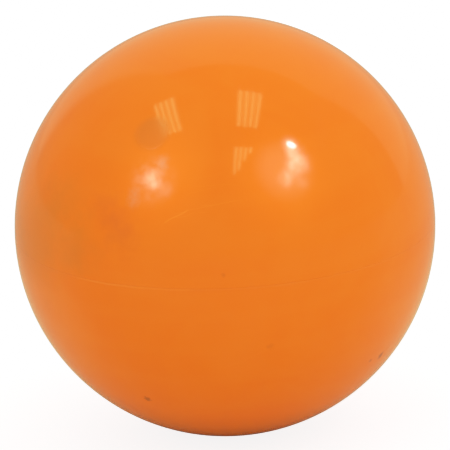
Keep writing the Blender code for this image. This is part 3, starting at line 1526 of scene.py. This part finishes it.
@dataclass
class Studio:
    """The camera, the stage and the lights together.

    Args:
        sizes: The ball's sizes.
        view: The camera's viewpoint.
        white: The light level that is shown as white.
        shoulder: Levels and what they are shown as, from where lighter tones are drawn together.
    """

    sizes: BallSizes
    view: Viewpoint = field(default_factory=Viewpoint)
    white: float = 1.3
    shoulder: tuple[tuple[float, float], ...] = ((0.7, 0.705), (0.9, 0.826))

    def build(self) -> None:
        """Sets up the studio."""
        self.view.make_camera(self.sizes.radius)
        Stage(self.view, floor_height=-self.sizes.radius).build()
        Surroundings(self.view).build()
        CeilingLights(self.view).build()
        for strobe in self._strobes():
            strobe.build()
        self._develop()

    def _strobes(self) -> tuple[Strobe, ...]:
        """Lists the strobe on the right and the one on the left.

        Returns:
            The strobes.
        """
        right = Strobe(
            view=self.view,
            name="right_strobe",
            tube_way=(0.565, -0.32, 0.76),
            tube_size=(0.095, 0.055),
            tube=40.0,
            lean=-62.0,
            glows=(
                Glow((0.564, -0.325, 0.76), 0.15, 7.0),
                Glow((0.573, -0.374, 0.729), 0.12, 5.0),
                Glow((0.622, -0.42, 0.658), 0.21, 10.0, folds=0.5),
                Glow((0.59, -0.52, 0.62), 0.17, 4.5, folds=0.5),
                Glow((0.545, -0.6, 0.58), 0.16, 4.5, folds=0.5),
                Glow((0.67, -0.53, 0.515), 0.13, 1.8),
                Glow((0.53, -0.55, 0.645), 0.46, 1.1, plateau=0.35, fall=1.0),
                Glow((0.5, -0.62, 0.6), 1.1, 3.8, tint=SCATTERED),
            ),
        )
        left = Strobe(
            view=self.view,
            name="left_strobe",
            tube_way=(-0.585, -0.515, 0.627),
            tube_size=(0.09, 0.13),
            tube=2.3,
            tube_tint=(1.0, 0.95, 0.75),
            lean=-20.0,
            glows=(
                Glow((-0.61, -0.5, 0.616), 0.13, 3.0, folds=0.5),
                Glow((-0.587, -0.566, 0.579), 0.14, 4.2, folds=0.5),
                Glow((-0.5, -0.66, 0.556), 0.15, 1.8),
                Glow((-0.66, -0.48, 0.59), 0.14, 1.8),
                Glow((-0.51, -0.46, 0.73), 0.12, 1.2),
                Glow((-0.6, -0.53, 0.6), 0.42, 2.4, folds=0.8),
                Glow((-0.54, -0.56, 0.62), 1.1, 4.4, tint=SCATTERED),
            ),
        )
        return right, left

    def _develop(self) -> None:
        """Draws the light tones together, as a camera does, so that the orange keeps its hue."""
        settings = bpy.context.scene.view_settings
        settings.view_transform = "Standard"
        settings.look = "None"
        settings.use_curve_mapping = True
        mapping = settings.curve_mapping
        mapping.white_level = (self.white, self.white, self.white)
        mapping.extend = "HORIZONTAL"
        curve = mapping.curves[3]
        for level, shown in self.shoulder:
            curve.points.new(level / self.white, shown)
        for point in curve.points:
            point.handle_type = "VECTOR"
        mapping.update()


def marks(colour: Colour, ragged: float, edge: float, *places: tuple[float, ...]) -> tuple[Spot, ...]:
    """Lists marks of one kind, each at a latitude and longitude, with its radius and strength."""
    return tuple(Spot(*place, colour, ragged, edge) for place in places)


@dataclass
class Ball:
    """The whole ball, piece by piece.

    Args:
        sizes: The ball's sizes.
        skin: The unevenness of its outside.
    """

    sizes: BallSizes
    skin: Undulation = field(default_factory=Undulation)

    def build(self) -> list[bpy.types.Object]:
        """Builds every piece in its finish.

        Returns:
            The pieces.
        """
        effects = SurfaceEffects()
        # Painted shade over the plug and the boss round it, where the thicker wall lets less light through
        plug_painted_shade = marks(PLUG_PAINTED_SHADE, 0.06, 0.5, (self.sizes.plug_latitude, 0.0, 4.0, 0.66))
        # Painted shade along the left rim, across both halves and the weld
        left_rim_painted_shade = marks(FILM_AND_SHADE, 0.35, 1.0, (8.0, -40.0, 16.0, 0.48))
        upper_finish = MouldedPlastic(
            name="glossy_orange_upper",
            films_and_painted_light=(
                *plug_painted_shade,
                # Painted reflection of a fourth ceiling luminaire, above and right of the left strobe's
                # highlight
                *marks(PALE_STREAK_AND_REFLECTION, 0.4, 1.0, (34.8, 6.3, 1.5, 0.3), (33.2, 6.2, 1.4, 0.3)),
                # Pale streaks below and left of the left strobe's highlight
                *marks(PALE_STREAK_AND_REFLECTION, 0.4, 1.0, (25.2, -1.7, 1.7, 0.3), (23.0, -1.5, 1.8, 0.32)),
                *left_rim_painted_shade,
                *marks(FILM_AND_SHADE, 0.35, 1.0, (20.0, -26.0, 8.0, 0.22), (8.0, -19.0, 7.5, 0.3)),
                *marks(SOIL, 0.5, 1.0, (20.5, -10.5, 5.0, 0.2), (17.5, -6.0, 5.2, 0.22)),
                *marks(SOIL, 0.5, 1.0, (13.4, -4.0, 4.6, 0.22)),
            ),
            dots=marks(SPECK, 0.5, 0.9, (4.0, 24.6, 0.6, 0.2)),
            hairs=(
                Hair(19.7, 11.8, 32.0, 6.0, 0.8, width=0.4),
                Hair(21.8, 17.0, 14.0, 8.0, 0.5),
                Hair(23.2, 24.5, 4.0, 9.0, 0.4),
                Hair(20.3, 16.0, 12.0, 8.0, 0.3),
                Hair(30.5, 20.0, 6.0, 8.0, 0.16),
                Hair(28.0, 23.0, 2.0, 10.0, 0.2),
                Hair(26.8, 20.0, 10.0, 8.0, 0.16),
            ),
        ).build(effects, self.sizes.radius)
        lower_finish = MouldedPlastic(
            name="glossy_orange_lower",
            # The painted shade along the left rim
            films_and_painted_light=left_rim_painted_shade,
            dots=(
                *marks(SPECK, 0.4, 0.8, (-38.8, -5.3, 1.0, 0.6)),
                *marks(SPECK, 0.5, 0.9, (-18.0, 36.9, 0.9, 0.14)),
                *marks(SPECK, 0.4, 0.7, (-31.9, 81.8, 1.1, 0.6), (-32.0, 76.3, 0.6, 0.4)),
            ),
            hairs=(Hair(-21.4, 30.4, 27.0, 10.0, 0.2),),
        ).build(effects, self.sizes.radius)
        weld_finish = MouldedPlastic(
            # The painted shade along the left rim
            name="weld_orange",
            films_and_painted_light=left_rim_painted_shade,
            # A touch paler than the shells, with paler lines along the seam below: painted highlight on the
            # crown, partly trimmed plastic that is paler
            colour=(0.935, 0.194, 0.0075),
            roughness=0.12,
            specks=0.05,
            hairs=(
                Hair(0.0, -7.0, 0.0, 19.0, 0.55, width=1.2),
                Hair(0.0, 10.0, 0.0, 9.0, 0.3, width=1.0),
            ),
        ).build(effects, self.sizes.radius)
        plug_finish = MouldedPlastic(
            name="plug_orange",
            # The same painted shade over the plug
            films_and_painted_light=plug_painted_shade,
            roughness=0.085,
            specks=0.05,
        ).build(effects, self.sizes.radius)
        return [
            HalfShell(self.sizes, Half.UPPER, self.skin).build(upper_finish),
            HalfShell(self.sizes, Half.LOWER, self.skin).build(lower_finish),
            SeamWeld(self.sizes, self.skin).build(weld_finish),
            VentPlug(self.sizes, self.skin).build(plug_finish),
        ]


def main() -> None:
    """Builds the ball round the frame and sets up the studio."""
    logging.basicConfig(level=logging.INFO, format="%(message)s")
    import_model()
    sizes = BallSizes.from_frame()
    for piece in Ball(sizes).build():
        log.info("%s: %d faces", piece.name, len(piece.data.polygons))
    Studio(sizes).build()


if __name__ == "__main__":
    main()
